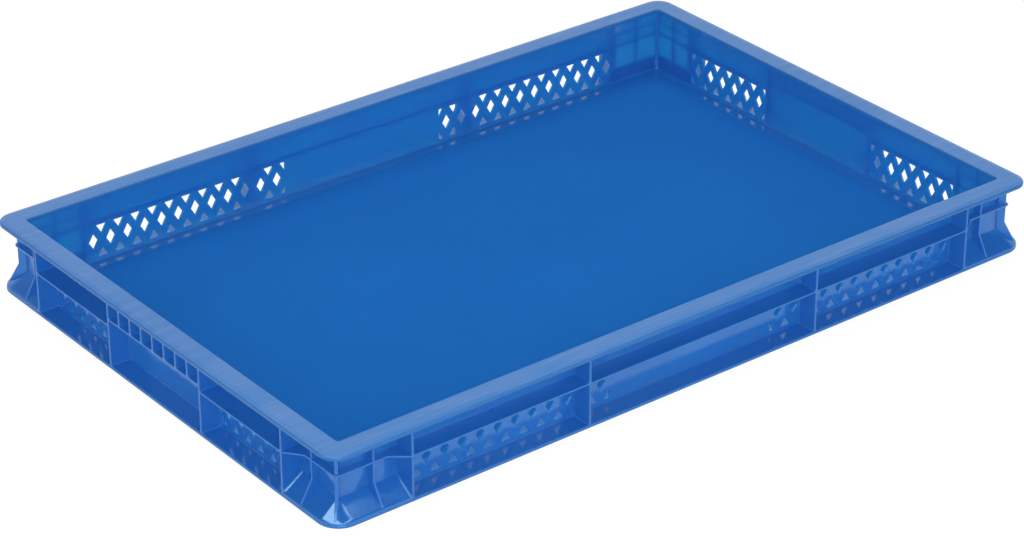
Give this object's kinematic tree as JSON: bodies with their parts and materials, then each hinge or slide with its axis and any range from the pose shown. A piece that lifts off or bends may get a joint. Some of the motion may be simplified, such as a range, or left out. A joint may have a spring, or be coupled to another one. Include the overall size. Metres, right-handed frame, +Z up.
{
  "type": "stacking tray",
  "caption": "Low rectangular plastic stacking tray with a closed floor, lattice-pierced walls, a wide flat rim, outside ribs, flared corners and a grip under the rim at each short end.",
  "frame": {"origin": "on the ground under the middle of the tray", "axes": "+Z up, X along the long sides with the ends at -X and +X, front side at -Y"},
  "size_m": [0.6, 0.4, 0.057],
  "materials": {
    "gloss_blue_plastic": "glossy moulded walls and ribs",
    "floor_blue_plastic": "satin moulded floor",
    "scuffed_blue_plastic": "rim rubbed dull by stacking"
  },
  "bodies": {
    "root": {"back_left_brace": "gloss_blue_plastic", "back_left_skirt": "gloss_blue_plastic", "back_rib_1": "gloss_blue_plastic", "back_rib_2": "gloss_blue_plastic", "back_rib_3": "gloss_blue_plastic", "back_rib_4": "gloss_blue_plastic", "back_right_brace": "gloss_blue_plastic", "back_right_skirt": "gloss_blue_plastic", "back_rim_rail": "scuffed_blue_plastic", "back_shelf_1": "gloss_blue_plastic", "back_shelf_2": "gloss_blue_plastic", "back_shelf_middle": "gloss_blue_plastic", "back_stacking_foot": "floor_blue_plastic", "back_wall": "gloss_blue_plastic", "floor_plate": "floor_blue_plastic", "front_left_brace": "gloss_blue_plastic", "front_left_skirt": "gloss_blue_plastic", "front_rib_1": "gloss_blue_plastic", "front_rib_2": "gloss_blue_plastic", "front_rib_3": "gloss_blue_plastic", "front_rib_4": "gloss_blue_plastic", "front_right_brace": "gloss_blue_plastic", "front_right_skirt": "gloss_blue_plastic", "front_rim_rail": "scuffed_blue_plastic", "front_shelf_1": "gloss_blue_plastic", "front_shelf_2": "gloss_blue_plastic", "front_shelf_middle": "gloss_blue_plastic", "front_stacking_foot": "floor_blue_plastic", "front_wall": "gloss_blue_plastic", "left_grip_comb": "gloss_blue_plastic", "left_rib_1": "gloss_blue_plastic", "left_rib_2": "gloss_blue_plastic", "left_rib_3": "gloss_blue_plastic", "left_rib_4": "gloss_blue_plastic", "left_rim_rail": "scuffed_blue_plastic", "left_shelf_1": "gloss_blue_plastic", "left_shelf_2": "gloss_blue_plastic", "left_stacking_foot": "floor_blue_plastic", "left_wall": "gloss_blue_plastic", "right_grip_comb": "gloss_blue_plastic", "right_rib_1": "gloss_blue_plastic", "right_rib_2": "gloss_blue_plastic", "right_rib_3": "gloss_blue_plastic", "right_rib_4": "gloss_blue_plastic", "right_rim_rail": "scuffed_blue_plastic", "right_shelf_1": "gloss_blue_plastic", "right_shelf_2": "gloss_blue_plastic", "right_stacking_foot": "floor_blue_plastic", "right_wall": "gloss_blue_plastic"}
  },
  "joints": []
}
